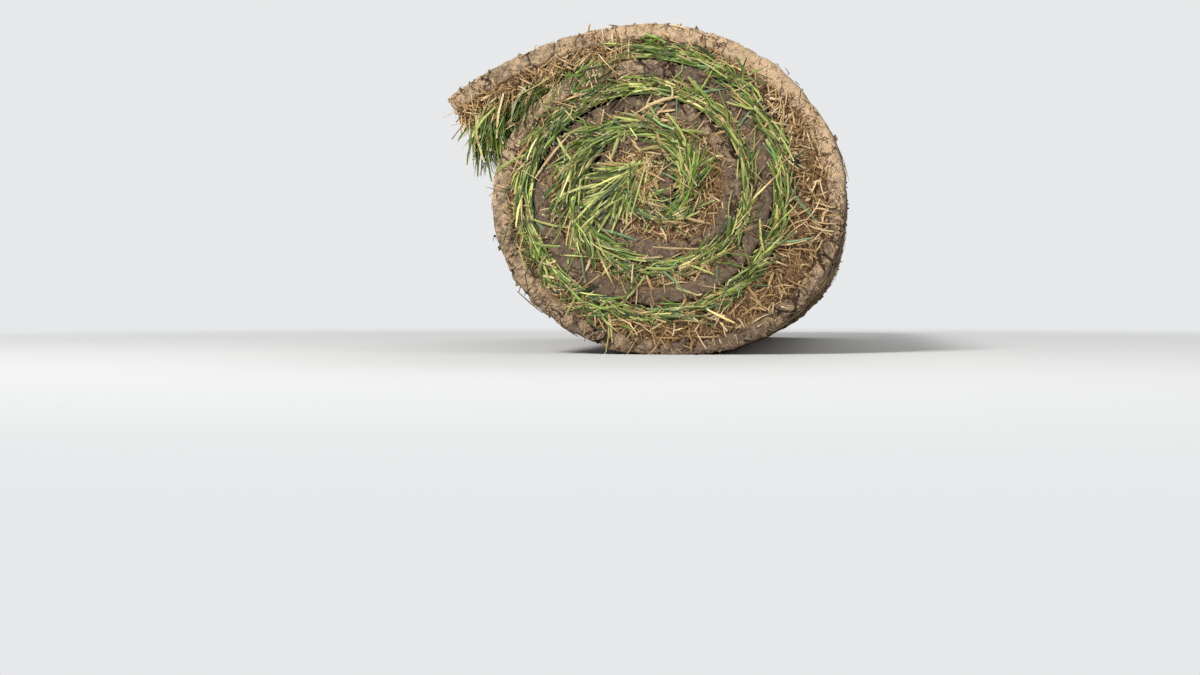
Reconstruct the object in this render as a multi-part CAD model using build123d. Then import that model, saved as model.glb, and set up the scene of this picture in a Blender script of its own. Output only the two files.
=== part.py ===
from build123d import *

import os
from math import cos, degrees, exp, pi, radians, sin, sqrt

# A roll of turf: one strip of mown grass on its bed of soil, rolled up with the grass inside.
# Lengths are in millimetres. X runs across the roll, Y along its axis and Z up.
# The origin is the middle of the flat that the roll lies on, halfway along the axis.

# The strip as it was cut
strip_length = 1372.0
roll_width = 610.0
soil_thickness = 11.0
thatch_thickness = 7.0

# How it is wound, from its inner end outwards
grass_gap = 9.4
core_radius = 20.8
turn_sag = 3.6

# Where the winding is slack or tight: the angle wound up to where the end lifts off, in degrees, and how far
# the strip stands out there, as a share of the grass gap
slack_angles = (1166.09, 838.49, 626.09, 276.89, 118.49)
slack_ratios = (-1.1, 0.8, 1.0, 1.1, 2.1)
slack_spread_angle = 52.2

# The outer end, which has sprung open and bends less than the roll
lift_off_angle = 100.0
tail_length = 129.0
tail_bend_radius = 252.0

# What its weight and the knife leave: a flat underneath, and ends where thatch and grass lie deeper than soil
press_depth = 2.5
grass_depth = 40.0
thatch_depth = 2.5

# Fineness of the winding, and how far a cut runs past the face that it opens
arcs_per_turn = 24
overcut = 1.0

sod_thickness = soil_thickness + thatch_thickness
turn_pitch = sod_thickness + grass_gap

# The mat of roots between soil and thatch keeps its length when bent, so the turns are counted along it.
mat_start = core_radius - soil_thickness
wound_length = strip_length - tail_length
wound_turns = (sqrt(mat_start**2 + turn_pitch * wound_length / pi) - mat_start) / turn_pitch

# The eye opens where the inside of the first turn has left the core by this much and stays clear of it.
eye_clearance = 2.0


def heading(turn):
    """Direction from the core, in radians, TURN turns out from the inner end."""
    return radians(lift_off_angle) - 2 * pi * (wound_turns - turn)


def slack(turn):
    """How much further out than an even winding the strip is at TURN."""
    yet_to_wind = 360 * (wound_turns - turn)
    stand_out = 0.0
    for angle, ratio in zip(slack_angles, slack_ratios):
        stand_out += ratio * exp(-(((yet_to_wind - angle) / slack_spread_angle) ** 2))
    return grass_gap * stand_out


def soil_radius(turn):
    """Distance from the core to the soil face, which is the strip's outer side."""
    sag = turn_sag * turn * sin(heading(turn))
    return core_radius + turn_pitch * turn - sag + slack(turn)


def winding_point(turn, depth=0.0):
    """Point of the strip's section DEPTH inside its soil face."""
    radius = soil_radius(turn) - depth
    return Vector(radius * cos(heading(turn)), radius * sin(heading(turn)))


def winding_line(first_turn, last_turn, depth=0.0):
    """The winding between two turns, DEPTH inside the soil face, as a chain of arcs."""
    count = round((last_turn - first_turn) * arcs_per_turn)
    step = (last_turn - first_turn) / count
    starts = [first_turn + arc * step for arc in range(count)]
    return [
        ThreePointArc(*[winding_point(start + share * step, depth) for share in (0, 0.5, 1)])
        for start in starts
    ]


def tail_line(depth=0.0, extra=0.0):
    """The sprung-open end as an arc, DEPTH inside its soil face and EXTRA longer than it is."""
    bend = degrees((tail_length + extra) / tail_bend_radius)
    return JernArc(winding_point(wound_turns, depth), tail_heading, tail_bend_radius - depth, bend)


def whole_section():
    """The rolled strip with its turns closed up, open only in the wedge under the lifted end."""
    top, underside = tail_line(), tail_line(sod_thickness)
    cut_end = Line(top @ 1, underside @ 1)
    return make_face([*last_turn, top, cut_end, underside, wedge_root])


def grass_section():
    """The spiral space between the turns, from the eye of the roll to the wedge."""
    outer_wall = winding_line(eye_turn, wound_turns, sod_thickness)
    inner_wall = winding_line(0, wound_turns - 1)
    eye = Line(winding_point(0), winding_point(eye_turn, sod_thickness))
    return make_face([*outer_wall, *inner_wall, eye, wedge_root])


def thatch_section():
    """The band of thatch along the inside of the soil, out to the strip's cut end."""
    far_side = sod_thickness + overcut
    outer_wall = [*winding_line(eye_turn, wound_turns, soil_thickness), tail_line(soil_thickness, overcut)]
    inner_wall = [*winding_line(eye_turn, wound_turns, far_side), tail_line(far_side, overcut)]
    ends = [Line(outer_wall[0] @ 0, inner_wall[0] @ 0), Line(outer_wall[-1] @ 1, inner_wall[-1] @ 1)]
    return make_face([*outer_wall, *inner_wall, *ends])


def end_cutters(section, depth):
    """The two solids that sink SECTION into the ends of the roll, DEPTH deep."""
    cutter = extrude(Plane.XZ * to_origin * section, (depth + overcut) / 2, both=True)
    reach = (roll_width - depth + overcut) / 2
    return [Pos(0, side * reach, 0) * cutter for side in (-1, 1)]


closed_arcs = [
    arc for arc in range(arcs_per_turn) if soil_radius(arc / arcs_per_turn) - sod_thickness < eye_clearance
]
eye_turn = (max(closed_arcs, default=-1) + 1) / arcs_per_turn
last_turn = winding_line(wound_turns - 1, wound_turns)
tail_heading = last_turn[-1] % 1
wedge_root = Line(winding_point(wound_turns, sod_thickness), winding_point(wound_turns - 1))

# The roll lies on the lowest stretch of its last turn, pressed flat by its weight.
floor_height = min(arc.bounding_box().min.Y for arc in last_turn) + press_depth
below_floor = Rectangle(strip_length, 2 * press_depth, align=(Align.CENTER, Align.MAX))
pressed_section = whole_section() - Pos(0, floor_height) * below_floor
resting_edge = pressed_section.edges().sort_by(Axis.Y)[0]
to_origin = Pos(-resting_edge.center().X, -floor_height)

turf = extrude(Plane.XZ * to_origin * pressed_section, roll_width / 2, both=True)
for cutter in end_cutters(grass_section(), grass_depth) + end_cutters(thatch_section(), thatch_depth):
    turf -= cutter

os.makedirs("parts", exist_ok=True)
export_step(turf.solid(), "parts/turf_roll.step")
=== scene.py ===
from itertools import product
from math import cos, pi, radians, sin, sqrt

import bpy
import numpy as np
from mathutils import Matrix, Vector


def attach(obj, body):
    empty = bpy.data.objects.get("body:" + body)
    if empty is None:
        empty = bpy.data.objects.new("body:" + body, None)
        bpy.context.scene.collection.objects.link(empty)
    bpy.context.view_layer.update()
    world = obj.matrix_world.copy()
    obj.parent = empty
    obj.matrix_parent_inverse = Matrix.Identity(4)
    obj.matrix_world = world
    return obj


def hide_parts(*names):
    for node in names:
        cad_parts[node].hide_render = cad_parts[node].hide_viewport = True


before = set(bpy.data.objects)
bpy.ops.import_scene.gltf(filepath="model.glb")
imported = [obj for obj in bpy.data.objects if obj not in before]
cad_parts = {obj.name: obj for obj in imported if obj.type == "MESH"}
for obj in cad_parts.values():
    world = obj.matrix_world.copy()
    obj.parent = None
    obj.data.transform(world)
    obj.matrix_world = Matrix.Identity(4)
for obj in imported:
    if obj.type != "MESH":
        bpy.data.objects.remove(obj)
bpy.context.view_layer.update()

# A roll of turf. Everything is worked out in millimetres and written to Blender in metres.
# A point of the strip is given by s, the length along its soil face from the inner end, by d, the depth
# from the soil face towards the grass, and by y, the place along the axis of the roll.
MM = 0.001

# The strip and its winding, as in the CAD source
STRIP_LENGTH = 1372.0
HALF_WIDTH = 305.0
SOIL = 11.0
THATCH = 7.0
GRASS_GAP = 9.4
CORE_RADIUS = 20.8
TURN_SAG = 3.6
SLACK_ANGLES = (1166.09, 838.49, 626.09, 276.89, 118.49)
SLACK_RATIOS = (-1.1, 0.8, 1.0, 1.1, 2.1)
SLACK_SPREAD_ANGLE = 52.2
LIFT_OFF_ANGLE = 100.0
TAIL_LENGTH = 129.0
TAIL_BEND_RADIUS = 252.0
PRESS_DEPTH = 2.5

SOD = SOIL + THATCH
PITCH = SOD + GRASS_GAP
MAT_START = CORE_RADIUS - SOIL
WOUND_LENGTH = STRIP_LENGTH - TAIL_LENGTH
WOUND_TURNS = (sqrt(MAT_START**2 + PITCH * WOUND_LENGTH / pi) - MAT_START) / PITCH

# How finely the winding is sampled, and the gap that stands for the open space under the lifted end
WINDING_SAMPLES = 7001
TAIL_SAMPLES = 400
OPEN_GAP = 60.0

# The grass lies as a rope on the soil of the turn inside it, broader to the left of the core and on both sides
# of the eye. What is left of the gap is thatch, which is shaggy under the lifted end.
ROPE_WIDTH = 10.0
ROPE_SWELL = 1.5
ROPE_SWELL_ANGLE = radians(165)
EYE_SWELL = 3.5
EYE_TURNS = 1.95
LEAST_THATCH = 2.5
TAIL_SHAG = 5.0

# Height over which things are pressed flat on the floor, and how far blades reach out of an end of the roll,
# first freely and then at most beyond that
FLOOR_SOFTNESS = 1.6
END_REACH = 8.0
END_GIVE = 14.0


# The strip's own coordinates

def heading(turn):
    """Direction from the core, in radians, TURN turns out from the inner end."""
    return radians(LIFT_OFF_ANGLE) - 2 * pi * (WOUND_TURNS - turn)


def soil_radius(turn):
    """Distance from the core to the soil face."""
    yet_to_wind = 360 * (WOUND_TURNS - turn)
    slack = 0.0
    for angle, ratio in zip(SLACK_ANGLES, SLACK_RATIOS):
        slack = slack + ratio * np.exp(-(((yet_to_wind - angle) / SLACK_SPREAD_ANGLE) ** 2))
    return CORE_RADIUS + PITCH * turn - TURN_SAG * turn * np.sin(heading(turn)) + GRASS_GAP * slack


def unit(vectors):
    return vectors / np.maximum(np.linalg.norm(vectors, axis=-1, keepdims=True), 1e-9)


def sample_winding():
    """Tables along the strip: length, and in the XZ plane place, way, way inward, turn, gap and bend radius."""
    turn = np.linspace(0, WOUND_TURNS, WINDING_SAMPLES)
    radius = soil_radius(turn)
    out = np.stack([np.cos(heading(turn)), np.sin(heading(turn))], axis=1)
    point = radius[:, None] * out
    along = unit(np.gradient(point, axis=0))
    gap = np.where(turn > 1, radius - SOD - soil_radius(np.maximum(turn - 1, 0)), radius - SOD)

    start, way = point[-1], along[-1]
    left = np.array([-way[1], way[0]])
    bend = np.linspace(0, TAIL_LENGTH / TAIL_BEND_RADIUS, TAIL_SAMPLES)[1:, None]
    centre = start + left * TAIL_BEND_RADIUS
    tail_point = centre + TAIL_BEND_RADIUS * (way * np.sin(bend) - left * np.cos(bend))
    tail_along = way * np.cos(bend) + left * np.sin(bend)
    tail_inward = left * np.cos(bend) - way * np.sin(bend)

    same = np.ones(len(bend))
    tail = tail_point, tail_along, tail_inward, WOUND_TURNS + 0.2 * bend[:, 0], OPEN_GAP * same, TAIL_BEND_RADIUS * same
    tables = [np.concatenate(pair) for pair in zip((point, along, -out, turn, gap, radius), tail)]
    length = np.concatenate([[0], np.cumsum(np.linalg.norm(np.diff(tables[0], axis=0), axis=1))])
    return length, *tables


LENGTH, POINT, ALONG, INWARD, TURN, GAP, BEND_RADIUS = sample_winding()
S_END = LENGTH[-1]
S_LIFT = S_END - TAIL_LENGTH
S_ROOT = np.interp(WOUND_TURNS - 1, TURN, LENGTH)


def put_on_floor():
    """Shifts the winding so that it lies on the floor, and returns where its core is."""
    last = (LENGTH > S_ROOT) & (LENGTH <= S_LIFT)
    x, z = POINT[last, 0], POINT[last, 1]
    floor_height = z.min() + PRESS_DEPTH
    under = x[z < floor_height]
    core_x, core_z = -(under.min() + under.max()) / 2, -floor_height
    POINT[:] += (core_x, core_z)
    return np.array([core_x, 0, core_z])


CORE = put_on_floor()


def look_up(table, s):
    if table.ndim == 1:
        return np.interp(s, LENGTH, table)
    return np.stack([np.interp(s, LENGTH, column) for column in table.T], axis=-1)


def grass_start(s):
    """Depth at which the thatch ends and the rope of grass begins."""
    turn = look_up(TURN, s)
    width = ROPE_WIDTH + ROPE_SWELL * np.cos(heading(turn) - ROPE_SWELL_ANGLE)
    width = width + EYE_SWELL * np.abs(np.cos(heading(turn))) * (turn < EYE_TURNS)
    beyond_sod = np.maximum(look_up(GAP, s) - width, LEAST_THATCH - THATCH)
    return SOD + np.where(turn > WOUND_TURNS, TAIL_SHAG, beyond_sod)


def grass_end(s):
    """Depth of the soil of the turn inside."""
    return SOD + look_up(GAP, s)


def above_floor(points):
    """Presses what would be under the floor flat, without a fold."""
    z = points[..., 2]
    low = z < FLOOR_SOFTNESS
    z[low] = FLOOR_SOFTNESS * np.exp((z[low] - FLOOR_SOFTNESS) / FLOOR_SOFTNESS)
    return points


def near_ends(points):
    """Keeps what sticks out of the ends of the roll from reaching far."""
    y = points[..., 1]
    reach = HALF_WIDTH + END_REACH
    over = np.abs(y) - reach
    far = over > 0
    y[far] = np.sign(y[far]) * (reach + END_GIVE * np.tanh(over[far] / END_GIVE))
    return points


def place(s, d, y):
    """Point of the strip in the row frame, in millimetres."""
    inside = np.clip(s, 0, S_END)
    flat = look_up(POINT, inside) + look_up(INWARD, inside) * np.asarray(d)[..., None]
    flat = flat + look_up(ALONG, inside) * np.asarray(s - inside)[..., None]
    return above_floor(np.stack([flat[..., 0], np.broadcast_to(y, flat[..., 0].shape), flat[..., 1]], axis=-1))


# Noise

def lattice(cell, seed):
    """A random number from 0 to 1 for each point of a whole-number lattice."""
    h = cell[:, 0] * 73856093 ^ cell[:, 1] * 19349663 ^ cell[:, 2] * 83492791 ^ (seed * 40503 + 977)
    h = h & 0xFFFFFFFF
    h = ((h ^ (h >> 15)) * 2246822519) & 0xFFFFFFFF
    h = ((h ^ (h >> 13)) * 3266489917) & 0xFFFFFFFF
    return ((h ^ (h >> 16)) & 0xFFFFFF) / 0xFFFFFF


def noise(p, size, seed):
    """Smooth noise from -1 to 1, with lumps of about SIZE."""
    q = p / np.asarray(size, dtype=float)
    cell = np.floor(q).astype(np.int64)
    f = q - cell
    f = f * f * (3 - 2 * f)
    total = np.zeros(len(p))
    for corner in product((0, 1), repeat=3):
        weight = np.ones(len(p))
        for axis, end in enumerate(corner):
            weight = weight * (f[:, axis] if end else 1 - f[:, axis])
        total += weight * lattice(cell + np.array(corner), seed)
    return 2 * total - 1


def fractal(p, size, octaves, seed):
    """Noise with lumps of about SIZE and smaller, lower ones on them."""
    total, share = np.zeros(len(p)), 1.0
    size = np.asarray(size, dtype=float)
    for octave in range(octaves):
        total += share * noise(p, size / 2**octave, seed + octave)
        share /= 2
    return total


def clods(p, size, seed):
    """Distance from the nearest edge between clods of about SIZE, and a random number for each clod."""
    q = p / np.asarray(size, dtype=float)
    cell = np.floor(q).astype(np.int64)
    nearest, second, label = np.full(len(p), 9.0), np.full(len(p), 9.0), np.zeros(len(p))
    for offset in product((-1, 0, 1), repeat=3):
        near = cell + np.array(offset)
        middle = near + np.stack([lattice(near, seed + axis) for axis in range(3)], axis=1)
        distance = np.linalg.norm(q - middle, axis=1)
        closer = distance < nearest
        second = np.where(closer, nearest, np.minimum(second, distance))
        label = np.where(closer, lattice(near, seed + 3), label)
        nearest = np.minimum(nearest, distance)
    return second - nearest, label


def smooth_step(low, high, value):
    t = np.clip((value - low) / (high - low), 0, 1)
    return t * t * (3 - 2 * t)


# Meshes

def add_object(name, data):
    thing = bpy.data.objects.new(name, data)
    bpy.context.scene.collection.objects.link(thing)
    return thing


def build_mesh(name, points, quads, polygons=(), smooth=True, values=None, colours=None):
    """Object with the points in millimetres, quads as an array and other faces as lists."""
    mesh = bpy.data.meshes.new(name)
    quads = np.asarray(quads, dtype=np.int64).reshape(-1, 4)
    corners = np.concatenate([quads.ravel(), *[np.asarray(face, dtype=np.int64) for face in polygons]])
    totals = np.concatenate([np.full(len(quads), 4), [len(face) for face in polygons]]).astype(np.int64)
    starts = np.concatenate([[0], np.cumsum(totals)[:-1]])
    mesh.vertices.add(len(points))
    mesh.vertices.foreach_set("co", (np.asarray(points) * MM).astype(np.float32).ravel())
    mesh.loops.add(len(corners))
    mesh.loops.foreach_set("vertex_index", corners.astype(np.int32))
    mesh.polygons.add(len(totals))
    mesh.polygons.foreach_set("loop_start", starts.astype(np.int32))
    mesh.polygons.foreach_set("loop_total", totals.astype(np.int32))
    mesh.polygons.foreach_set("use_smooth", np.full(len(totals), smooth))
    mesh.update(calc_edges=True)
    for label, value in (values or {}).items():
        mesh.attributes.new(label, "FLOAT", "POINT").data.foreach_set("value", value.astype(np.float32))
    if colours is not None:
        rgba = np.concatenate([colours, np.ones((len(colours), 1))], axis=1).astype(np.float32)
        mesh.attributes.new("paint", "FLOAT_COLOR", "POINT").data.foreach_set("color", rgba.ravel())
    mesh.validate()
    return add_object(name, mesh)


def loft(rows, columns):
    """Quads between closed loops of COLUMNS points, one loop a row."""
    row, column = np.meshgrid(np.arange(rows - 1), np.arange(columns), indexing="ij")
    here, beside = row * columns + column, row * columns + (column + 1) % columns
    return np.stack([here, beside, beside + columns, here + columns], axis=-1).reshape(-1, 4)


def sleeve_points(s_rows, d_loop, y_loop):
    """Strip coordinates of the same loop at each of S_ROWS."""
    rows = len(s_rows)
    return np.stack([np.repeat(s_rows, len(d_loop)), np.tile(d_loop, rows), np.tile(y_loop, rows)], axis=1)


def layer_loop(reach, across, depths):
    """Loop of a layer: ACROSS points from -REACH to REACH at the first of DEPTHS, and down both sides."""
    down = depths[1:]
    d_loop = np.concatenate([np.full(across, depths[0]), down, down[::-1]])
    y_loop = np.concatenate([np.linspace(-reach, reach, across), np.full(len(down), reach), np.full(len(down), -reach)])
    return d_loop, y_loop


def sleeve_faces(rows, columns):
    """Quads of a sleeve of ROWS loops, and the two faces that close it."""
    last = (rows - 1) * columns
    return loft(rows, columns)[:, ::-1], [list(range(columns)), list(range(last, last + columns))[::-1]]


def finish_piece(piece, slot):
    """Gives PIECE the material of SLOT and hangs it under the root body."""
    piece.data.materials.append(materials[slot])
    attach(piece, "root")
    return piece


# Soil

# The skin of the outside stops short of the ends, and starts a little way in between the turns.
SKIN_EDGE = 293.0
SKIN_DEPTH = 6.0
SKIN_OVERLAP = 14.0
EDGE_RADIUS = 2.4
FAR = 1e5

# Depth of the turns' own soil face, and of the part of it that the skin hides
TURNS_TOP = 0.3
HIDDEN_DEPTH = 4.5


def soil_relief(p, end_share):
    """How far the soil stands out at each point, how deep its cracks are, and its broad unevenness."""
    q = p + 4.5 * np.stack([noise(p, 12, 51 + axis) for axis in range(3)], axis=1)
    broad = fractal(p, (60, 60, 80), 2, 3)
    lumps = fractal(p, (12, 10, 14), 4, 12)
    edge, label = clods(q, (12, 13, 18), 21)
    small_edge, small_label = clods(q, (4.6, 5.0, 6.2), 31)
    broken = smooth_step(-0.2, 0.5, fractal(p, 42, 2, 41))
    parted = smooth_step(-0.35, 0.25, noise(p, 10, 46))
    crumbly = smooth_step(-0.35, 0.35, noise(p, 26, 47))
    open_crack = broken * parted * smooth_step(0.13, 0.02, edge)
    fine_crack = crumbly * smooth_step(0.16, 0.03, small_edge) * smooth_step(-0.2, 0.5, noise(p, 15, 45))
    clod, small_clod = broken * (label - 0.5), crumbly * (small_label - 0.5)
    outside = 1.2 * broad + 0.9 * lumps + clod + 0.8 * small_clod - (2.0 * open_crack + 0.7 * fine_crack)
    end = 0.6 * broad + 0.3 * lumps + 0.5 * clod + 0.4 * small_clod - (1.5 * open_crack + 0.7 * fine_crack)
    height = outside * (1 - end_share) + end * end_share
    return height, np.maximum(open_crack, 0.7 * fine_crack), broad


def rounded(p, low, high, radius):
    """For points on the skin of a box, the nearest point of the box less RADIUS, and the way out of it."""
    core = np.clip(p, np.asarray(low) + radius, np.asarray(high) - radius)
    return core, unit(p - core)


def end_wave(s):
    """How far the strip's edge stands out of the flat end of the roll."""
    p = np.stack([s, np.full_like(s, 50.0), np.zeros_like(s)], axis=1)
    return 1.6 * noise(p, 70, 61) + 0.8 * noise(p, 19, 62)


def dryness_and_top_light(s, d, y, broad, end_share):
    """1 where the soil has dried pale and 0 where it is dark and moist, the ends' outer ring driest, with painted light
    that makes the ends paler towards the top and painted shade that makes them darker towards the bottom.
    """
    outer = smooth_step(WOUND_TURNS - 1.12, WOUND_TURNS - 0.86, look_up(TURN, s))
    # Painted light: the ends are painted paler the higher they stand, and darker towards the bottom as painted shade.
    height = smooth_step(0, 170, place(s, d, y)[:, 2])
    lifted = smooth_step(S_LIFT - 40, S_END, s)
    on_end = 0.14 * height + outer * (0.26 + 0.48 * height) * (1 - 0.45 * lifted)
    return np.clip(end_share * on_end + (1 - end_share) * 0.16 + 0.14 * broad, 0, 1)


def skin_grid():
    """Points, quads and closing faces of the skin: a sleeve, with a grid over the strip's cut end."""
    rows = round((S_END - S_ROOT + SKIN_OVERLAP) / 2.4) + 1
    across, depths = 203, np.linspace(0, SKIN_DEPTH, 4)
    d_loop, y_loop = layer_loop(SKIN_EDGE, across, depths)
    p = sleeve_points(np.linspace(S_ROOT - SKIN_OVERLAP, S_END, rows), d_loop, y_loop)
    columns = len(d_loop)
    last = (rows - 1) * columns

    # The grid shares its border with the last loop, apart from the side that CLOSING fills.
    grid = [last + np.arange(across)]
    for level, depth in enumerate(depths[1:]):
        inner = len(p) + np.arange(across - 2)
        p = np.concatenate([p, sleeve_points([S_END], np.full(len(inner), depth), y_loop[1 : across - 1])])
        grid.append([last + columns - 1 - level, *inner, last + across + level])
    grid = np.array(grid)
    cut_end = np.stack([grid[:-1, :-1], grid[1:, :-1], grid[1:, 1:], grid[:-1, 1:]], axis=-1).reshape(-1, 4)

    quads = loft(rows, columns)
    beside_grid = across + len(depths) - 2
    replaced = (quads[:, 0] // columns == rows - 2) & (quads[:, 0] % columns == beside_grid)
    quads = np.concatenate([quads[~replaced][:, ::-1], cut_end])
    before = last - columns + beside_grid
    closing = [before + 1, before, *grid[-1][::-1]]
    return p, quads, [closing, list(range(columns))]


def soil_skin():
    """The weathered outside of the roll and of its lifted end."""
    p, quads, closing = skin_grid()
    s, d, y = p.T
    core, out = rounded(p, (-FAR, 0, -FAR), (S_END, FAR, FAR), EDGE_RADIUS)
    height, crack_shade, broad = soil_relief(p, 0)
    moved = core + out * (EDGE_RADIUS + np.where(d < SKIN_DEPTH - 0.1, height, 0))[:, None]
    moved[:, 2] += np.where(np.abs(y) > SKIN_EDGE - 0.1, np.sign(y) * 1.5 * noise(p, 9, 71), 0)
    # The crack values are painted dark in the material, as painted shade in the cracks.
    values = {"dry_and_top_light": dryness_and_top_light(s, d, y, broad, 0), "crack_shade": 0.5 * crack_shade, "outside": np.ones(len(p))}
    return build_mesh("soil_skin", place(*moved.T), quads, closing, values=values)


def soil_turns():
    """The strip's layer of soil, with both of its cut edges in full detail and what they hide left plain."""
    rows = round(S_END / 0.95) + 1
    edge = np.linspace(TURNS_TOP, SOIL, 13)
    d_end = np.concatenate([[HIDDEN_DEPTH], np.full(5, TURNS_TOP), edge, np.full(2, SOIL)])
    y_end = HALF_WIDTH - np.array([18, 14, 9.5, 6, 3, 1.3, *np.zeros(len(edge)), 2, 6])
    d_loop, y_loop = np.concatenate([d_end, d_end[::-1]]), np.concatenate([y_end, -y_end[::-1]])
    p = sleeve_points(np.linspace(0, S_END, rows), d_loop, y_loop)
    s, d, y = p.T
    side = np.sign(y)

    core, out = rounded(p, (0, TURNS_TOP, -HALF_WIDTH), (S_END, SOIL, HALF_WIDTH), EDGE_RADIUS)
    end_share = np.clip(np.abs(out[:, 2]), 0, 1)
    height, crack_shade, broad = soil_relief(p, end_share)
    moved = core + out * (EDGE_RADIUS + height)[:, None]
    hidden = d == HIDDEN_DEPTH
    moved[hidden] = p[hidden]

    # The border between soil and thatch wanders, and the edges stand out unevenly.
    border = np.stack([s, np.zeros_like(s), 9.0 * side], axis=1)
    deeper = 1.8 + 1.6 * noise(border, 24, 65) + 0.9 * noise(border, 6, 66)
    moved[:, 1] += np.clip((moved[:, 1] - 4) / (SOIL - 4), 0, 1.3) * deeper * ~hidden
    shown = smooth_step(HALF_WIDTH - 14, HALF_WIDTH - 3, np.abs(y))
    moved[:, 2] += shown * side * end_wave(s + np.where(side < 0, 400, 0))

    values = {
        # dryness together with painted light, paler towards the top of the ends
        "dry_and_top_light": dryness_and_top_light(s, d, y, broad, np.maximum(end_share, shown)),
        # how deep the cracks are, painted dark as painted shade
        "crack_shade": crack_shade,
        "roots": smooth_step(7.5, 12.5, d + 2.0 * noise(p, 7, 68)),
        "outside": 1 - shown,
    }
    return build_mesh("soil_turns", place(*moved.T), *sleeve_faces(rows, len(d_loop)), values=values)


# Thatch

def thatch_relief(p, seed):
    return 0.9 * fractal(p, (7, 6, 7), 3, seed) + 0.5 * fractal(p, 2.6, 2, seed + 5)


def thatch_mat():
    """Roots, thatch and pressed grass between the turns, sunk further in under the rope of grass."""
    s_end = S_LIFT + 6
    rows = round(s_end / 1.6) + 1
    s_rows = np.linspace(2, s_end, rows)
    # From the soil (0) over the start of the rope (1) to the soil of the turn inside (2), and how far it is sunk
    share = np.array([0, 0, 0.15, 0.35, 0.6, 0.85, 1.0, 1.2, 1.45, 1.7, 2.0, 2.0])
    sink = np.array([40, 2.8, 1.8, 1.3, 1.3, 2.0, 3.4, 6.5, 9.0, 11.0, 14.0, 40.0])
    side = np.repeat([1.0, -1.0], len(share))
    share, sink = np.concatenate([share, share[::-1]]), np.concatenate([sink, sink[::-1]])
    first = SOIL - 1.5
    end = np.clip(grass_end(s_rows)[:, None] - 0.8, SOIL + 1, SOD + 34)
    start = np.clip(grass_start(s_rows)[:, None], SOIL + 0.5, end - 0.3)
    d = first + np.minimum(share, 1) * (start - first) + np.maximum(share - 1, 0) * (end - start)
    p = sleeve_points(s_rows, share, side * (HALF_WIDTH - sink))
    p[:, 1] = d.ravel()

    rough = thatch_relief(p, 81)
    moved = p.copy()
    moved[:, 2] += np.where(np.abs(p[:, 2]) > HALF_WIDTH - 30, np.sign(p[:, 2]) * 1.5 * rough, 0)
    # Painted shade: 'under' marks the mat beneath the rope of grass, which the thatch material paints dark.
    values = {"rough": rough, "under": np.tile(smooth_step(0.8, 1.2, share), rows)}
    return build_mesh("thatch_mat", place(*moved.T), *sleeve_faces(rows, len(share)), values=values)


def thatch_tail():
    """Thatch along the underside of the lifted end."""
    s_start, s_end = S_LIFT - 8, S_END - 0.8
    rows = round((s_end - s_start) / 2.6) + 1
    reach = HALF_WIDTH - 2.2
    d_loop, y_loop = layer_loop(reach, 171, np.linspace(SOD, SOIL - 0.8, 4))
    p = sleeve_points(np.linspace(s_start, s_end, rows), d_loop, y_loop)
    core, out = rounded(p, (-FAR, -FAR, -reach), (s_end, SOD, reach), 1.8)
    rough = thatch_relief(p, 91)
    moved = core + out * (1.8 + np.where(p[:, 1] > SOIL, 1.5 * rough, 0))[:, None]
    quads, caps = sleeve_faces(rows, len(d_loop))
    return build_mesh("thatch_tail", place(*moved.T), quads[:, ::-1], [cap[::-1] for cap in caps],
                      values={"rough": rough})


# Colours of blades and stems

def linear(red, green, blue):
    """Linear colour of an sRGB one written from 0 to 255."""
    c = np.array([red, green, blue]) / 255
    return np.where(c <= 0.04045, c / 12.92, ((c + 0.055) / 1.055) ** 2.4)


DARK_GREEN = linear(52, 72, 17)
MID_GREEN = linear(104, 137, 42)
PALE_GREEN = linear(196, 200, 116)
BLUE_GREEN = linear(118, 150, 104)
CUT_TIP = linear(236, 222, 178)
DEAD = linear(224, 192, 138)
GOLD = linear(192, 154, 102)
BROWN = linear(112, 82, 52)
PALE_STRAW = linear(240, 212, 168)


def blend(low, high, share):
    share = np.asarray(share)[..., None]
    return low * (1 - share) + high * share


def grass_paint(rng, count, knots):
    """Colour of each blade at each knot: pale at the root, green along it, and a cut end that has dried."""
    tone = rng.random(count)
    darker, paler = blend(DARK_GREEN, MID_GREEN, tone * 2), blend(MID_GREEN, PALE_GREEN, (tone - 0.5) * 1.9)
    body = np.where((tone < 0.5)[:, None], darker, paler)
    for share, low, high in ((0.05, MID_GREEN, BLUE_GREEN), (0.13, DEAD, PALE_GREEN)):
        chosen = rng.random((count, 1)) < share
        body = np.where(chosen, blend(low, high, rng.random(count)), body)
    body = body * np.interp(rng.random((count, 1)), (0, 0.3, 0.75, 1), (0.26, 0.60, 1.12, 1.6))
    along = knot_shares(knots - 1)[None, :, None]
    root = np.clip(1 - along * 3, 0, 1) * 0.35
    tip = (along > 0.99) * rng.choice([0.2, 0.7, 1.0], (count, 1, 1), p=[0.35, 0.3, 0.35])
    paint = body[:, None, :] * (1 - root) + PALE_GREEN * root
    return paint * (1 - tip) + CUT_TIP * tip


def straw_paint(rng, count, knots, pale=0.0):
    """Colour of each dead stem at each knot, from brown over gold to a pale straw."""
    tone = np.clip(rng.random(count) - 0.08 + pale, 0, 1)
    darker, paler = blend(BROWN, GOLD, tone / 0.45), blend(GOLD, PALE_STRAW, (tone - 0.45) / 0.55)
    body = np.where((tone < 0.45)[:, None], darker, paler) * (0.8 + 0.35 * rng.random((count, 1)))
    along = np.linspace(0, 1, knots)[None, :, None]
    return body[:, None, :] * (0.8 + 0.3 * along)


# Blades, stems and fibres

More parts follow.
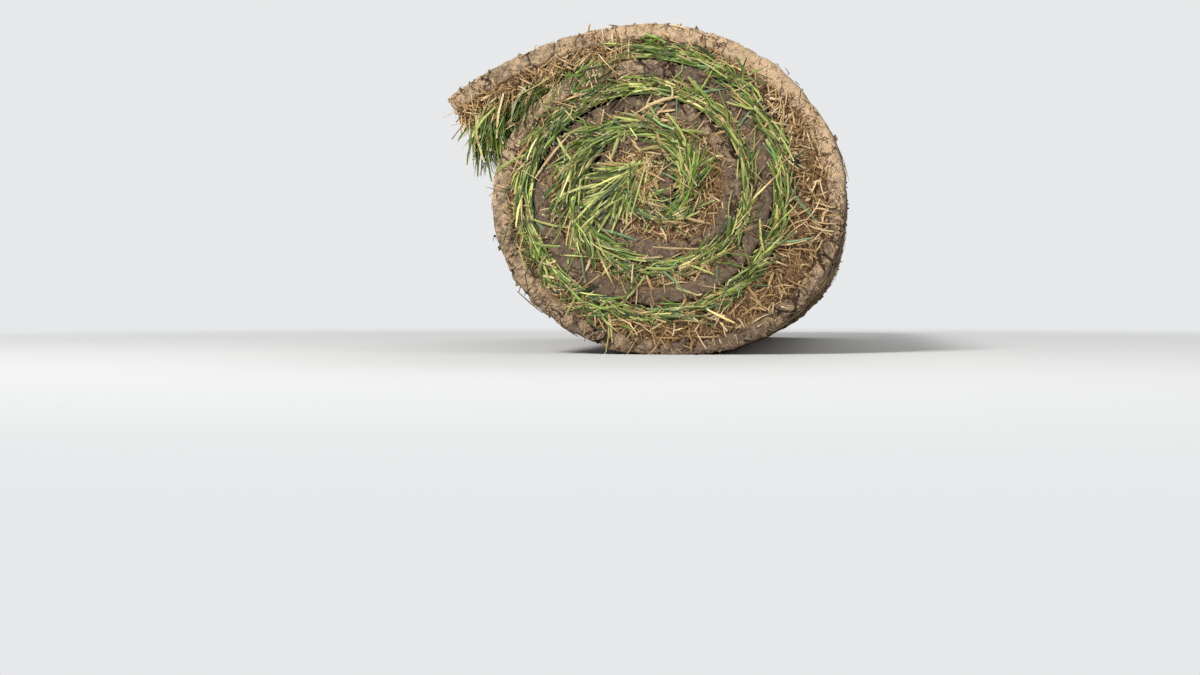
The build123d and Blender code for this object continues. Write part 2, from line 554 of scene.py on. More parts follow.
# Dead roots, straight stems and flat dead leaves: how common they are, their length, width, spread of curl and
# how much paler they are
STRAW_SHARES = (0.66, 0.29, 0.05)
STRAW_LENGTHS = ((3, 10), (6, 18), (5, 12))
STRAW_WIDTHS = ((0.35, 0.8), (0.5, 1.1), (1.1, 1.9))
STRAW_CURLS = (1.6, 0.3, 0.6)
STRAW_PALENESS = (-0.08, 0.16, 0.34)
STRAW_TAPER = (0.7, 1.0, 1.0, 0.6)


def knot_shares(segments):
    """Where a blade's knots are, from 0 at the root to 1, with a short last stretch for its cut tip."""
    return np.append(np.linspace(0, 0.91, segments), 1.0)


def direction(angle, lift):
    """Unit vectors at ANGLE in the plane of the first and third axis, lifted out of it by LIFT."""
    return np.stack([np.cos(angle) * np.cos(lift), np.sin(lift), np.sin(angle) * np.cos(lift)], axis=1)


def strip_paths(s, d, y, turn_out, rise, length, stiff, segments, side, limit=None):
    """Middle lines of blades that follow the strip or, the stiffer they are, go straight on. TURN_OUT is the
    pair of angles, at root and tip, from the way of the strip out of the roll's end, and RISE that from the
    mat. Blades that aren't stiff stay between the two depths of LIMIT."""
    offset = np.zeros((len(s), 3))
    curved = [place(s, d, y)]
    straight = [curved[0]]
    way, into = (np.insert(look_up(table, s), 1, 0, axis=1) for table in (ALONG, INWARD))
    shares = knot_shares(segments)
    for before, after in zip(shares, shares[1:]):
        middle = (before + after) / 2
        flat, lift = (root + (tip - root) * middle for root, tip in (turn_out, rise))
        offset = offset + (length * (after - before))[:, None] * direction(flat, lift) * (1, 1, side)
        depth = d + offset[:, 1]
        if limit is not None:
            depth = np.where(stiff < 0.5, np.clip(depth, *limit), depth)
        tighter = np.clip(1 - depth / look_up(BEND_RADIUS, s), 0.4, 1.2)
        curved.append(place(s + offset[:, 0] / tighter, depth, y + offset[:, 2]))
        straight.append(straight[0] + way * offset[:, :1] + into * offset[:, 1:2] + offset[:, 2:] * (0, 1, 0))
    curved, straight = np.stack(curved, axis=1), np.stack(straight, axis=1)
    return curved + (straight - curved) * np.reshape(stiff, (-1, 1, 1))


def free_paths(start, angle, bend, lift, droop, length, shares, side):
    """Middle lines that lie across an end of the roll at ANGLE and turn by BEND, and that leave it at LIFT
    and come back by DROOP times that. Their knots are at SHARES."""
    knots = [start]
    for before, after in zip(shares, shares[1:]):
        middle = (before + after) / 2
        way = direction(angle + bend * middle, lift * (1 - droop * middle)) * (1, side, 1)
        knots.append(knots[-1] + way * (length * (after - before))[:, None])
    return np.stack(knots, axis=1)


def ribbons(name, paths, width, taper, fold, face, paint):
    """Closed blades along PATHS, folded along the middle, with their flat side towards FACE."""
    blades, knots = paths.shape[:2]
    along = unit(np.gradient(paths, axis=1))
    across = unit(np.cross(along, face[:, None, :]))
    normal = unit(np.cross(across, along))
    half = (width[:, None] * taper / 2)[..., None]
    ridge = paths + normal * half * fold[:, None, None]
    points = np.stack([paths - across * half, ridge, paths + across * half], axis=2)
    points = above_floor(near_ends(points))
    index = np.arange(blades * knots * 3).reshape(blades, knots, 3)
    beside = np.roll(index, -1, axis=2)
    sides = np.stack([index[:, :-1], beside[:, :-1], beside[:, 1:], index[:, 1:]], axis=-1)
    quads = sides.transpose(2, 0, 1, 3).reshape(-1, 4)
    caps = np.concatenate([index[:, 0, ::-1], index[:, -1, :]])
    colours = np.repeat(paint.reshape(-1, 3), 3, axis=0)
    return build_mesh(name, points.reshape(-1, 3), quads, list(caps), smooth=False, colours=colours)


def blade_width(rng, count):
    """Mostly fine leaves, with a broad one here and there."""
    return rng.uniform(0.8, 1.9, count) * np.where(rng.random(count) < 0.07, 1.4, 1)


def blade_taper(rng, count, knots):
    """Share of its width that each blade has at each knot: mostly with a blunt, mown tip."""
    along = knot_shares(knots - 1)[None, :]
    blunt = rng.random((count, 1)) < 0.7
    tip = np.where(blunt, 1 - 0.45 * smooth_step(0.7, 1.0, along), 1 - 0.9 * smooth_step(0.5, 1.0, along))
    return np.minimum(0.65 + 1.2 * along, 1.0) * tip


def grass_blades(name, rng, paths, face, broader=1.0, painted_shade=1.0):
    """Mown blades along PATHS, BROADER times as wide as most, and with painted shade: the last argument times as
    bright.
    """
    count, knots = paths.shape[:2]
    width, taper = blade_width(rng, count) * broader, blade_taper(rng, count, knots)
    fold = rng.uniform(0.25, 0.6, count)
    return ribbons(name, paths, width, taper, fold, face, grass_paint(rng, count, knots) * painted_shade)


def dead_fibres(name, rng, paths, width, face, pale):
    """Roots, stems and dead leaves along PATHS."""
    count, knots = paths.shape[:2]
    taper = np.broadcast_to(STRAW_TAPER, (count, knots))
    return ribbons(name, paths, width, taper, rng.uniform(0.3, 0.8, count), face, straw_paint(rng, count, knots, pale))


def facing_end(rng, count, side, uneven):
    """Flat sides towards the outside of an end, give or take UNEVEN."""
    return np.stack([rng.normal(0, uneven, count), np.full(count, float(side)), rng.normal(0, uneven, count)], axis=1)


def either(rng, chosen, these, others):
    """Random values between the pair THESE where CHOSEN, and between the pair OTHERS elsewhere."""
    return np.where(chosen, rng.uniform(*these, len(chosen)), rng.uniform(*others, len(chosen)))


def scatter(rng, count, table, density):
    """COUNT random values out of TABLE, as dense as DENSITY says."""
    total = np.cumsum(density)
    return np.interp(rng.random(count) * total[-1], total, table)


def along_rope(rng, count):
    """Places along the strip for grass: sparse in the eye, dense round it, and further out as there is room."""
    table = np.linspace(10, S_LIFT - 4, 2000)
    turn = look_up(TURN, table)
    room = np.clip(grass_end(table) - grass_start(table), 4, 24)
    return scatter(rng, count, table, np.where(turn < 0.45, 0.8, np.where(turn < 1, 3.5, room**0.8)))


def pressed_grass(name, side, rng, count):
    """Grass in the spiral gap at one end, most of it pressed along the strip and some springing out, above all
    in two places beside the eye."""
    s = along_rope(rng, count)
    turn = look_up(TURN, s)
    start, end = grass_start(s), np.where(turn < 1, SOD + 9, grass_end(s))
    fanned = (np.abs(turn - 1.68) < 0.15) | (np.abs(turn - 1.20) < 0.08)
    kind = rng.random(count)
    loose, stray = kind < np.where(fanned, 0.24, 0.12), kind < 0.03
    out = either(rng, loose, (-3, 1.5), (-9, 0))
    d = start + (end - start) * either(rng, loose, (-0.1, 0.6), (0, 0.92))

    uneven = np.where(stray, 0.9, np.where(loose, 0.45, 0.20))
    flat_root = np.where(loose, 0.30, 0.16) + 0.6 * uneven * rng.standard_normal(count)
    flat_tip = -0.03 + 0.7 * uneven * rng.standard_normal(count)
    sprung = np.where(loose, np.where(fanned, 0.38, 0.12), 0)
    rise_root = 0.02 + uneven * rng.standard_normal(count) - sprung
    rise_tip = rise_root * 0.4 + 0.8 * uneven * rng.standard_normal(count)
    back = rng.random(count) < np.where(fanned, 0.05, 0.16)
    flat = np.where(back, pi - flat_root, flat_root), np.where(back, pi - flat_tip, flat_tip)
    length = rng.uniform(11, 25, count) * np.where(stray | (fanned & loose), 1.25, 1)
    stiff = either(rng, loose, (0.6, 1), (0, 0.3))

    limit = np.maximum(start - 2, SOIL + 0.5), end - 1.0
    paths = strip_paths(s, d, side * (HALF_WIDTH + out), flat, (rise_root, rise_tip), length, stiff, 3, side, limit)
    # Painted shade: blades further back in the gap, away from the end, are painted darker.
    painted_shade = 0.22 + 0.86 * smooth_step(-6.5, -0.5, out)
    return grass_blades(name, rng, paths, facing_end(rng, count, side, 0.5), painted_shade=painted_shade[:, None, None])


def loose_blades(name, side, rng, count):
    """Single long blades that have sprung out of the gap and lie across the soil."""
    s = rng.uniform(60, S_LIFT - 150, count)
    d = grass_end(s) - rng.uniform(0, 7, count)
    flat = np.where(rng.random(count) < 0.35, pi, 0) + rng.normal(0, 0.12, count)
    rise = rng.choice([-1, 1], count) * rng.uniform(0.3, 1.3, count)
    y = side * (HALF_WIDTH + rng.uniform(-1, 1.5, count))
    bend = rng.normal(0, 0.35, count)
    length = rng.uniform(18, 36, count)
    paths = strip_paths(s, d, y, (0.12 + flat, flat), (rise, rise + bend), length, 1.0, 4, side)
    face = facing_end(rng, count, side, 0.3)
    tone = rng.random((count, 1))
    body = np.where(tone < 0.4, BLUE_GREEN, np.where(tone < 0.75, PALE_GREEN, DEAD))
    paint = np.repeat((body * rng.uniform(0.6, 1.0, (count, 1)))[:, None, :], 5, axis=1)
    width, taper = rng.uniform(0.9, 2.2, count), blade_taper(rng, count, 5)
    return ribbons(name, paths, width, taper, rng.uniform(0.2, 0.5, count), face, paint)


def hanging_grass(name, rng, count):
    """Grass under the lifted end, which leans into the wedge and hangs down near the cut."""
    share = rng.power(1.3, count)
    s = S_LIFT + (TAIL_LENGTH - 9) * share
    y = rng.uniform(-HALF_WIDTH + 1, HALF_WIDTH - 1, count)
    near_end = rng.random(count) < 0.30
    y = np.where(near_end, rng.choice([-1, 1], count) * (HALF_WIDTH - rng.uniform(-1, 10, count)), y)
    d = SOD + either(rng, near_end, (0, 12), (-1, 3))
    flat_root = rng.normal(0, 0.35, count)
    flat_tip = flat_root + rng.normal(0, 0.25, count)
    rise_root = (0.25 + 0.62 * share) + rng.normal(0, 0.22, count)
    rise_tip = rise_root + 0.3 * share + rng.normal(0.1, 0.28, count)
    length = rng.uniform(12, 28, count) + rng.uniform(0, 20, count) * share**2
    paths = strip_paths(s, d, y, (flat_root, flat_tip), (rise_root, rise_tip), length, 0.9, 3, 1)
    face = unit(rng.normal(0, 1, (count, 3)) + (-0.6, 0, 0.2))
    return grass_blades(name, rng, paths, face, broader=1.15)


def core_tuft(name, side, rng, count):
    """Longer blades that fan out of the eye of the roll, many of them pale."""
    down = rng.random(count)
    start = np.stack([-4 - 19 * down, np.zeros(count), 11 - 18 * down], axis=1)
    start += rng.normal(0, 3.5, (count, 3)) + CORE
    start[:, 1] = side * (HALF_WIDTH + rng.uniform(-8, 1, count))
    angle = radians(218) + rng.normal(0, 0.42, count)
    bend = rng.normal(0.1, 0.3, count)
    lift = rng.uniform(0.05, 0.5, count)
    length = rng.uniform(16, 38, count)
    paths = free_paths(start, angle, bend, lift, 1.1, length, knot_shares(4), side)
    face = facing_end(rng, count, side, 0.4)
    paint = grass_paint(rng, count, 5)
    pale = rng.random((count, 1, 1)) < 0.45
    paint = np.where(pale, 0.4 * paint + 0.85 * PALE_GREEN, paint)
    width, taper = rng.uniform(0.9, 2.0, count), blade_taper(rng, count, 5)
    return ribbons(name, paths, width, taper, rng.uniform(0.25, 0.6, count), face, paint)


def straw_kinds(rng, count):
    """Length, width, curl and paleness of dead bits."""
    kind = rng.choice(3, count, p=STRAW_SHARES)
    length, width = (
        np.choose(kind, [rng.uniform(*span, count) for span in spans]) for spans in (STRAW_LENGTHS, STRAW_WIDTHS)
    )
    curl = np.choose(kind, [rng.normal(0, curl_spread, count) for curl_spread in STRAW_CURLS])
    return length, width, curl, np.choose(kind, STRAW_PALENESS)


def straw_fibres(name, side, rng, count):
    """Dead bits at one end, most in the thatch where it is thick, and some on soil and grass."""
    table = np.linspace(3, S_END - 3, 2000)
    thickness = np.clip(grass_start(table) - SOIL, 3.5, 11)
    s = scatter(rng, count, table, thickness * np.where(table > S_LIFT, 1.7, 1))
    start = grass_start(s)
    kind = rng.random(count)
    in_thatch, on_rope = kind < 0.80, kind > 0.90
    d = either(rng, in_thatch, (SOIL - 1.5, start + 1.5), (1, SOIL))
    d = np.where(on_rope, rng.uniform(start, np.clip(grass_end(s), start + 1, start + 20), count), d)
    y = side * (HALF_WIDTH - either(rng, on_rope, (-3, 1), (-0.8, 3.2)))
    length, width, curl, pale = straw_kinds(rng, count)
    length = np.where(d < SOIL - 2, length * 0.6, length)

    # Most of those near the soil point away from the outside of the roll.
    angle = rng.uniform(0, 2 * pi, count)
    outward = np.einsum("ij,ij->i", np.stack([np.cos(angle), np.sin(angle)], axis=1), -look_up(INWARD, s))
    angle = np.where((outward > 0.2) & (d < SOIL + 4) & (rng.random(count) < 0.85), angle + pi, angle)
    lift = rng.uniform(-0.05, 0.42, count)
    paths = free_paths(place(s, d, y), angle, curl, lift, 1.5, length, np.linspace(0, 1, 4), side)
    return dead_fibres(name, rng, paths, width, facing_end(rng, count, side, 0.5), pale)


def tail_fibres(name, rng, count):
    """Roots and dead stems that hang from the thatch of the lifted end."""
    s = rng.uniform(S_LIFT, S_END, count)
    on_edge = rng.random(count) < 0.4
    s = np.where(on_edge, S_END - rng.uniform(0, 3, count), s)
    d = np.where(on_edge, rng.uniform(SOIL - 2, SOD, count), SOD - rng.uniform(0, 1, count))
    y = rng.uniform(-HALF_WIDTH + 2, HALF_WIDTH - 2, count)
    flat = rng.uniform(-1.4, 1.4, count)
    rise = rng.normal(0.4, 0.5, count)
    length, width, curl, pale = straw_kinds(rng, count)
    paths = strip_paths(s, d, y, (flat, flat + curl), (rise, rise + 0.5 * curl), length, 1.0, 3, 1)
    return dead_fibres(name, rng, paths, width, unit(rng.normal(0, 1, (count, 3))), pale)


def litter(name, rng, count):
    """Dead blades and stems that lie on the outside of the roll."""
    s = rng.uniform(S_ROOT + 30, S_END - 16, count)
    y = rng.uniform(-HALF_WIDTH + 4, HALF_WIDTH - 4, count)
    chip = rng.random(count) < 0.7
    length = either(rng, chip, (3, 10), (12, 34))
    flat = rng.uniform(-pi, pi, count)
    rise = -rng.uniform(0.0, 0.06, count)
    height, _, _ = soil_relief(np.stack([s, np.zeros(count), y], axis=1), 0)
    d = -height - rng.uniform(0.2, 0.8, count)
    flat = flat, flat + rng.normal(0, 0.5, count)
    paths = strip_paths(s, d, y, flat, (rise, -rise), length, 0.15, 3, 1)
    face = unit(place(s, np.zeros(count), y) - CORE - y[:, None] * (0, 1, 0))
    face = unit(face + rng.normal(0, 0.25, (count, 3)))
    width = either(rng, chip, (0.6, 1.6), (0.7, 2.2))
    taper = blade_taper(rng, count, 4)
    return ribbons(name, paths, width, taper, rng.uniform(0.3, 0.7, count), face, straw_paint(rng, count, 4))


# Crumbs

def crumb_places(rng, count):
    """Strip coordinates of crumbs on the outside, on the ends and in the thatch, the broad unevenness of the
    soil there, and which are in the thatch."""
    on_end = rng.random(count) < 0.72
    s = either(rng, on_end, (20, S_END - 3), (S_ROOT + 40, S_END - 3))
    side = rng.choice([-1, 1], count)
    y = np.where(on_end, side * (HALF_WIDTH - rng.uniform(-0.6, 1.8, count)), rng.uniform(-302, 302, count))
    in_thatch = on_end & (rng.random(count) < 0.68)
    deepest = np.clip(grass_start(s) + 2, SOD, SOD + 14)
    d = either(rng, in_thatch, (SOIL - 2, deepest), (0.5, SOIL))
    y = np.where(in_thatch, y - side * rng.uniform(0.0, 1.6, count), y)
    height, _, broad = soil_relief(np.stack([s, np.zeros(count), y], axis=1), 0)
    d = np.where(on_end, d, rng.uniform(-0.5, 0.5, count) - height)
    return s, d, y, broad, in_thatch


def crumbs(name, rng, count):
    """Loose crumbs of soil: octahedra, each pulled out of shape in its own way."""
    corners = np.array([(1, 0, 0), (0, 1, 0), (-1, 0, 0), (0, -1, 0), (0, 0, 1), (0, 0, -1)], dtype=float)
    sides = np.array([(0, 1, 4), (1, 2, 4), (2, 3, 4), (3, 0, 4), (1, 0, 5), (2, 1, 5), (3, 2, 5), (0, 3, 5)])
    s, d, y, broad, in_thatch = crumb_places(rng, count)
    size = rng.uniform(0.5, 1.5, count) * np.where(rng.random(count) < 0.1, 1.7, 1)
    stretch = rng.uniform(0.7, 1.4, (count, 1, 3)) * rng.uniform(0.75, 1.25, (count, 6, 1))
    turned = unit(corners + rng.normal(0, 0.35, (count, 6, 3)))
    points = above_floor(place(s, d, y)[:, None, :] + turned * size[:, None, None] * stretch)
    faces = (sides + 6 * np.arange(count)[:, None, None]).reshape(-1, 3)
    # Crumbs on the soil take on its painted light as well as its dryness, paler towards the top of the ends.
    on_soil = dryness_and_top_light(s, d, y, broad, smooth_step(280, 298, np.abs(y))) + rng.normal(0, 0.15, count)
    dry_and_top_light = np.clip(np.where(in_thatch, rng.uniform(0.05, 0.9, count), on_soil), 0, 1)
    roots = 0.7 * np.where(in_thatch, rng.uniform(0, 1, count), 0)
    values = {"dry_and_top_light": np.repeat(dry_and_top_light, 6), "crack_shade": np.zeros(6 * count), "roots": np.repeat(roots, 6)}
    return build_mesh(name, points.reshape(-1, 3), np.zeros((0, 4)), list(faces), smooth=False, values=values)


# Materials

MOIST_SOIL = linear(108, 91, 75)
DRY_SOIL = linear(206, 176, 140)
# Dark grit, and the painted shade in the cracks
DARK_GRIT_AND_CRACK_SHADE = linear(52, 37, 24)
DUSTY_SOIL = linear(158, 128, 96)
PALE_CRUMB = linear(214, 188, 156)
THATCH_DARK = linear(62, 44, 28)
THATCH_MID = linear(132, 102, 70)
THATCH_LIGHT = linear(184, 146, 102)
# Painted shade under the rope of grass
SHADE_UNDER_GRASS = linear(30, 33, 14)
VEIN_STAIN = (0.35, 0.35, 0.25)


def set_input(node, key, value):
    """Gives an input of NODE a number or an opaque colour, or links it to another socket."""
    socket = node.inputs[key]
    if isinstance(value, bpy.types.NodeSocket):
        node.id_data.links.new(value, socket)
    else:
        socket.default_value = (*value, 1) if socket.type == "RGBA" else value


def add_node(tree, kind, *inputs, **settings):
    """New shader node with its first INPUTS. SETTINGS are other inputs or, if it has none so named, its own."""
    node = tree.nodes.new("ShaderNode" + kind)
    for key, value in settings.items():
        if key in node.inputs:
            set_input(node, key, value)
        else:
            setattr(node, key, value)
    for index, value in enumerate(inputs):
        set_input(node, index, value)
    return node


def noise_node(where, size_mm, detail, roughness, output="Fac"):
    """Noise with lumps of about SIZE_MM."""
    return add_node(where.id_data, "TexNoise", Vector=where, Scale=1 / (size_mm * MM), Detail=detail,
                    Roughness=roughness).outputs[output]


def mix_colour(share, low, high, mode="MIX"):
    node = add_node(share.id_data, "Mix", share, data_type="RGBA", blend_type=mode)
    set_input(node, 6, low)
    set_input(node, 7, high)
    return node.outputs[2]


def lay_over(colour, layers):
    """COLOUR with each of LAYERS, pairs of a share and a colour, laid over it."""
    for share, layer in layers:
        colour = mix_colour(share, colour, layer)
    return colour


def math_node(operation, first, *others):
    return add_node(first.id_data, "Math", first, *others, operation=operation).outputs[0]


def times(first, second):
    return math_node("MULTIPLY", first, second)


def spread(value, low, high, to_low=0.0, to_high=1.0):
    """VALUE stretched so that LOW gives TO_LOW and HIGH gives TO_HIGH."""
    return add_node(value.id_data, "MapRange", value, low, high, to_low, to_high,
                    interpolation_type="SMOOTHSTEP").outputs[0]


def attribute(tree, name, output="Fac"):
    return add_node(tree, "Attribute", attribute_name=name).outputs[output]


def node_material(name):
    """New material, its node tree and the place on the piece, in metres."""
    material = bpy.data.materials.new(name)
    material.use_nodes = True
    tree = material.node_tree
    return material, tree, add_node(tree, "TexCoord").outputs["Object"]


def set_surface(tree, colour, roughness, specular, relief=None, relief_mm=0.0, strength=0.9):
    """Sets the material's own shader, with a bump where RELIEF is given, and returns it."""
    shader = tree.nodes["Principled BSDF"]
    inputs = {"Base Color": colour, "Roughness": roughness, "Specular IOR Level": specular}
    if relief is not None:
        bump = add_node(tree, "Bump", Height=relief, Distance=relief_mm * MM, Strength=strength)
        inputs["Normal"] = bump.outputs["Normal"]
    for key, value in inputs.items():
        set_input(shader, key, value)
    return shader


def thin_cracks(where, size_mm, width, seed_shift, area):
    """0 on a net of thin, crooked cracks about SIZE_MM apart, and 1 between them and outside AREA."""
    tree = where.id_data
    shift = noise_node(where, 0.6 * size_mm, 3.0, 0.6, "Color")
    reach = (1.1 * size_mm * MM,) * 3
    bent = add_node(tree, "VectorMath", shift, reach, where, operation="MULTIPLY_ADD")
    placed = add_node(tree, "Mapping", Vector=bent.outputs["Vector"], Location=(seed_shift,) * 3)
    cells = add_node(tree, "TexVoronoi", feature="DISTANCE_TO_EDGE", Vector=placed.outputs["Vector"],
                     Scale=1 / (size_mm * MM))
    elsewhere = math_node("MULTIPLY_ADD", area, -1.0, 1.0)
    return math_node("MAXIMUM", spread(cells.outputs["Distance"], 0.0, width), elsewhere)


def soil_material():
    """Clay soil that has dried in patches, with grit, pale chips, cracks painted dark as painted shade, painted light
    towards the top of the ends and, inwards, brown roots.
    """
    material, tree, where = node_material("soil")
    patches, lumps, grit, chips, weathered = (
        noise_node(where, *look)
        for look in ((13, 5, 0.65), (4.5, 4, 0.65), (1.5, 3, 0.6), (2.6, 2, 0.5), (42, 3, 0.6))
    )
    crumbly = times(attribute(tree, "outside"), spread(weathered, 0.40, 0.54))
    dry_cracks = thin_cracks(where, 10.0, 0.05, 3.0, spread(patches, 0.43, 0.56))
    net = times(dry_cracks, thin_cracks(where, 8.0, 0.10, 9.0, crumbly))

    # Dryness together with painted light: the ends are paler towards the top and darker towards the bottom.
    dry_and_top_light = attribute(tree, "dry_and_top_light")
    uneven = math_node("ADD", spread(patches, 0.35, 0.65, -0.22, 0.22), spread(lumps, 0.32, 0.68, -0.20, 0.20))
    dry_and_top_light = math_node("ADD", dry_and_top_light, times(uneven, spread(dry_and_top_light, 0.0, 0.4, 0.4, 1.0)))
    colour = lay_over(mix_colour(spread(dry_and_top_light, 0.0, 1.0), MOIST_SOIL, DRY_SOIL), [
        (spread(patches, 0.52, 0.70, 0.0, 0.5), DUSTY_SOIL),
        (times(attribute(tree, "roots"), spread(lumps, 0.36, 0.56)), THATCH_MID),
        (spread(grit, 0.30, 0.48, 0.45, 0.0), DARK_GRIT_AND_CRACK_SHADE),
        (times(spread(grit, 0.57, 0.70, 0.0, 0.6), spread(dry_and_top_light, 0.0, 0.8, 0.25, 1.0)), PALE_CRUMB),
        (spread(chips, 0.66, 0.72, 0.0, 0.6), THATCH_LIGHT),
        (times(crumbly, spread(grit, 0.45, 0.62, 0.0, 0.45)), DUSTY_SOIL),
        # Painted shade in the cracks: the net of thin cracks and the deep cracks of the relief are painted dark.
        (spread(net, 0.0, 1.0, 0.75, 0.0), DARK_GRIT_AND_CRACK_SHADE),
        (spread(attribute(tree, "crack_shade"), 0.08, 0.6, 0.0, 0.9), DARK_GRIT_AND_CRACK_SHADE),
    ])
    relief = math_node("ADD", math_node("ADD", times(grit, 0.6), lumps), times(net, 0.5))
    set_surface(tree, colour, spread(grit, 0.3, 0.7, 0.98, 0.82), 0.25, relief, 2.2)
    return material


def thatch_material():
    """Matted roots and thatch, with painted shade where the rope of grass lies over it."""
    material, tree, where = node_material("thatch")
    tangle = noise_node(where, 3.0, 5, 0.7)
    lengthwise = add_node(tree, "Mapping", Vector=where, Scale=(1, 0.3, 1)).outputs["Vector"]
    strands = noise_node(lengthwise, 1.2, 2, 0.6)
    colour = lay_over(mix_colour(spread(tangle, 0.36, 0.62), THATCH_DARK, THATCH_MID), [
        (spread(strands, 0.55, 0.72, 0.0, 0.75), THATCH_LIGHT),
        # Painted shade where the rope of grass lies over the mat
        (spread(attribute(tree, "under"), 0.0, 1.0, 0.0, 0.92), SHADE_UNDER_GRASS),
    ])
    set_surface(tree, colour, spread(strands, 0.3, 0.7, 0.95, 0.75), 0.2, strands, 1.4)
    return material


def blade_material(name, roughness, specular, vein_mm, stain):
    """Painted per blade, with fine veins and blotches on top."""
    material, tree, where = node_material(name)
    blotch, vein = noise_node(where, 5.0, 3, 0.6), noise_node(where, vein_mm, 2, 0.5)
    paint = attribute(tree, "paint", "Color")
    colour = mix_colour(spread(blotch, 0.35, 0.65, 0.0, 0.35), paint, stain, "MULTIPLY")
    colour = mix_colour(spread(vein, 0.35, 0.7, 0.25, 0.0), colour, VEIN_STAIN, "MULTIPLY")
    uneven = spread(blotch, 0.3, 0.7, roughness + 0.12, roughness - 0.08)
    set_surface(tree, colour, uneven, specular, vein, 0.4, 0.5)
    return material


# The stage, in metres

FLOOR_RADIUS = 60.0
FLOOR_COLOUR = (0.68, 0.68, 0.67)
BACKGROUND_COLOUR = (0.80, 0.81, 0.82)
SKY_COLOUR = (0.95, 0.97, 1.0)

# The camera stands where the photograph's did: turned a little to the right of the roll's axis, just above it.
# The core of the near end is CORE_RIGHT and CORE_UP from the middle of the picture.
CAMERA_TURN = radians(7.86)
CAMERA_DIP = radians(1.1)
CAMERA_DISTANCE = 1.0836
CORE_RIGHT = 0.0325
CORE_UP = 0.1024


def wide_floor():
    """A pale floor that goes on past every view of the roll."""
    angle = np.linspace(0, 2 * pi, 97)[:-1]
    rim = np.stack([np.cos(angle), np.sin(angle), np.zeros_like(angle)], axis=1) * FLOOR_RADIUS / MM
    points = np.concatenate([0.02 * rim, rim])
    return build_mesh("floor", points, loft(2, len(angle))[:, ::-1], [list(range(len(angle)))], smooth=False)


def seen_or_reflected(tree):
    """1 for rays from the camera and for those that gloss or glass sends on."""
    rays = add_node(tree, "LightPath").outputs
    seen = math_node("MAXIMUM", rays["Is Camera Ray"], rays["Is Glossy Ray"])
    return math_node("MAXIMUM", seen, rays["Is Transmission Ray"])


def mix_into(output, share, first, second):
    """Sends a mix of two shaders to the node OUTPUT."""
    mixer = add_node(output.id_data, "MixShader", share, first.outputs[0], second.outputs[0])
    set_input(output, "Surface", mixer.outputs[0])


def stage_material():
    """Pale, and melting into the colour of the background well away from the roll."""
    material, tree, where = node_material("floor")
    shader = set_surface(tree, FLOOR_COLOUR, 0.95, 0.1)
    glow = add_node(tree, "Emission", Color=BACKGROUND_COLOUR)
    distance = add_node(tree, "VectorMath", where, operation="LENGTH").outputs["Value"]
    far = times(spread(distance, 0.45, 1.15), seen_or_reflected(tree))
    mix_into(tree.nodes["Material Output"], far, shader, glow)
    return material


def area_light(name, location, target, size, power):
    light = bpy.data.lights.new(name, "AREA")
    light.shape = "RECTANGLE"
    light.size, light.size_y = size
    light.energy = power
    lamp = add_object(name, light)
    lamp.location = location
    lamp.rotation_euler = (Vector(target) - Vector(location)).to_track_quat("-Z", "Y").to_euler()


def light_scene():
    """Soft studio light from the upper left of the photo's view, filled in from the right and from behind."""
    area_light("key", (-1.0, -2.2, 1.75), (0, -0.1, 0.1), (0.7, 0.6), 86)
    area_light("fill", (2.2, -1.4, 1.4), (0, -0.1, 0.1), (1.6, 1.6), 10)
    area_light("back", (0.4, 2.6, 2.0), (0, 0.3, 0.0), (2.2, 1.6), 40)
    world = bpy.data.worlds.new("studio")
    bpy.context.scene.world = world
    world.use_nodes = True
    tree = world.node_tree
    sky = tree.nodes["Background"]
    set_input(sky, "Color", SKY_COLOUR)
    set_input(sky, "Strength", 0.24)
    backdrop = add_node(tree, "Background", Color=BACKGROUND_COLOUR)
    mix_into(tree.nodes["World Output"], seen_or_reflected(tree), sky, backdrop)


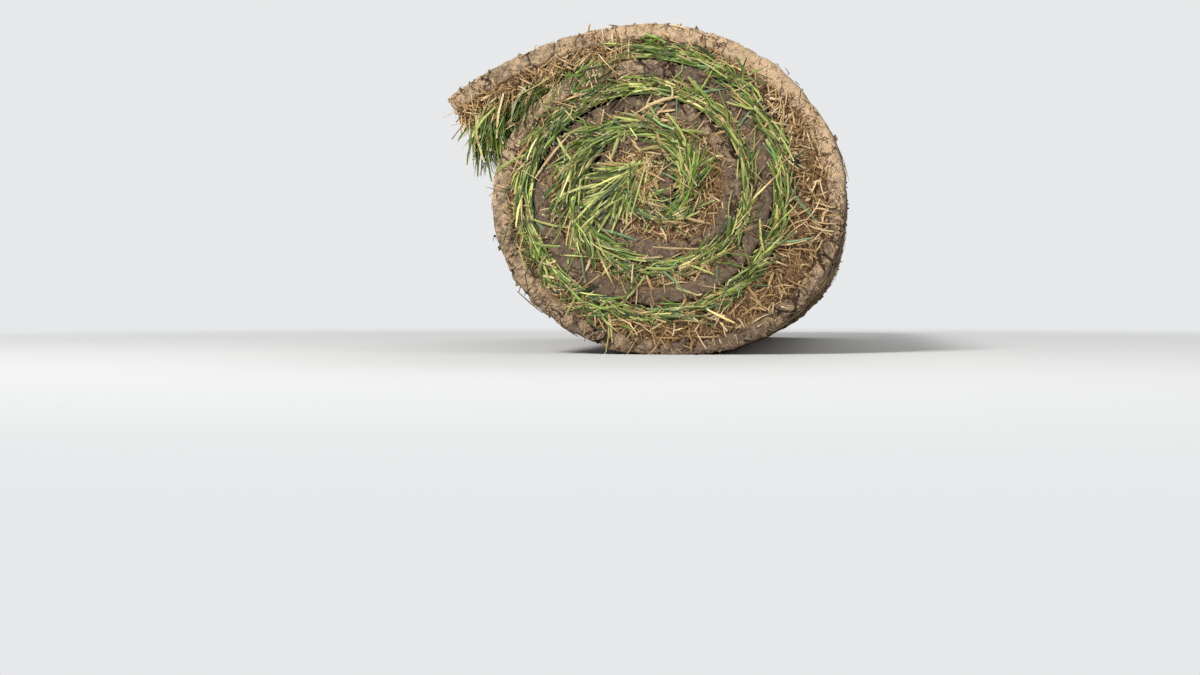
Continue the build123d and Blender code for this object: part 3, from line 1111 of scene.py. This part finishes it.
def add_camera():
    right = Vector((cos(CAMERA_TURN), sin(CAMERA_TURN), 0))
    forward = Vector((-sin(CAMERA_TURN) * cos(CAMERA_DIP), cos(CAMERA_TURN) * cos(CAMERA_DIP), -sin(CAMERA_DIP)))
    up = right.cross(forward)
    eye_of_roll = Vector((CORE[0] * MM, -HALF_WIDTH * MM, CORE[2] * MM))
    camera = add_object("camera", bpy.data.cameras.new("camera"))
    camera.data.lens = 50
    camera.data.sensor_width = 36
    camera.data.clip_start = 0.05
    location = eye_of_roll - right * CORE_RIGHT - up * CORE_UP - forward * CAMERA_DISTANCE
    rotation = Matrix((right, up, -forward)).transposed().to_4x4()
    camera.matrix_world = Matrix.Translation(location) @ rotation
    bpy.context.scene.camera = camera


# The pieces of blades, straws and crumbs: slot, maker, seed, count, name and, for one end, its side

FRONT, BACK = -1, 1
SCATTERED = (
    ("grass", pressed_grass, 101, 5600, "grass_front", FRONT),
    ("grass", pressed_grass, 102, 5000, "grass_back", BACK),
    ("grass", loose_blades, 111, 70, "grass_loose_front", FRONT),
    ("grass", loose_blades, 112, 70, "grass_loose_back", BACK),
    ("grass", core_tuft, 103, 260, "grass_eye_front", FRONT),
    ("grass", core_tuft, 104, 260, "grass_eye_back", BACK),
    ("grass", hanging_grass, 105, 3600, "grass_tail"),
    ("straw", straw_fibres, 106, 5200, "straw_front", FRONT),
    ("straw", straw_fibres, 107, 4600, "straw_back", BACK),
    ("straw", tail_fibres, 108, 1800, "straw_tail"),
    ("straw", litter, 109, 1700, "straw_litter"),
    ("soil", crumbs, 110, 7500, "soil_crumbs"),
)

materials = {
    "soil": soil_material(),
    "thatch": thatch_material(),
    "grass": blade_material("grass", roughness=0.45, specular=0.5, vein_mm=0.7, stain=(0.55, 0.48, 0.30)),
    "straw": blade_material("straw", roughness=0.72, specular=0.25, vein_mm=0.9, stain=(0.60, 0.52, 0.40)),
}

turns = finish_piece(soil_turns(), "soil")
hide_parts("turf_roll")
finish_piece(soil_skin(), "soil")
finish_piece(thatch_mat(), "thatch")
finish_piece(thatch_tail(), "thatch")
for slot, make, seed, count, *where in SCATTERED:
    finish_piece(make(*where, np.random.default_rng(seed), count), slot)

floor = wide_floor()
floor.data.materials.append(stage_material())
light_scene()
add_camera()
bpy.context.scene.view_settings.view_transform = "Standard"
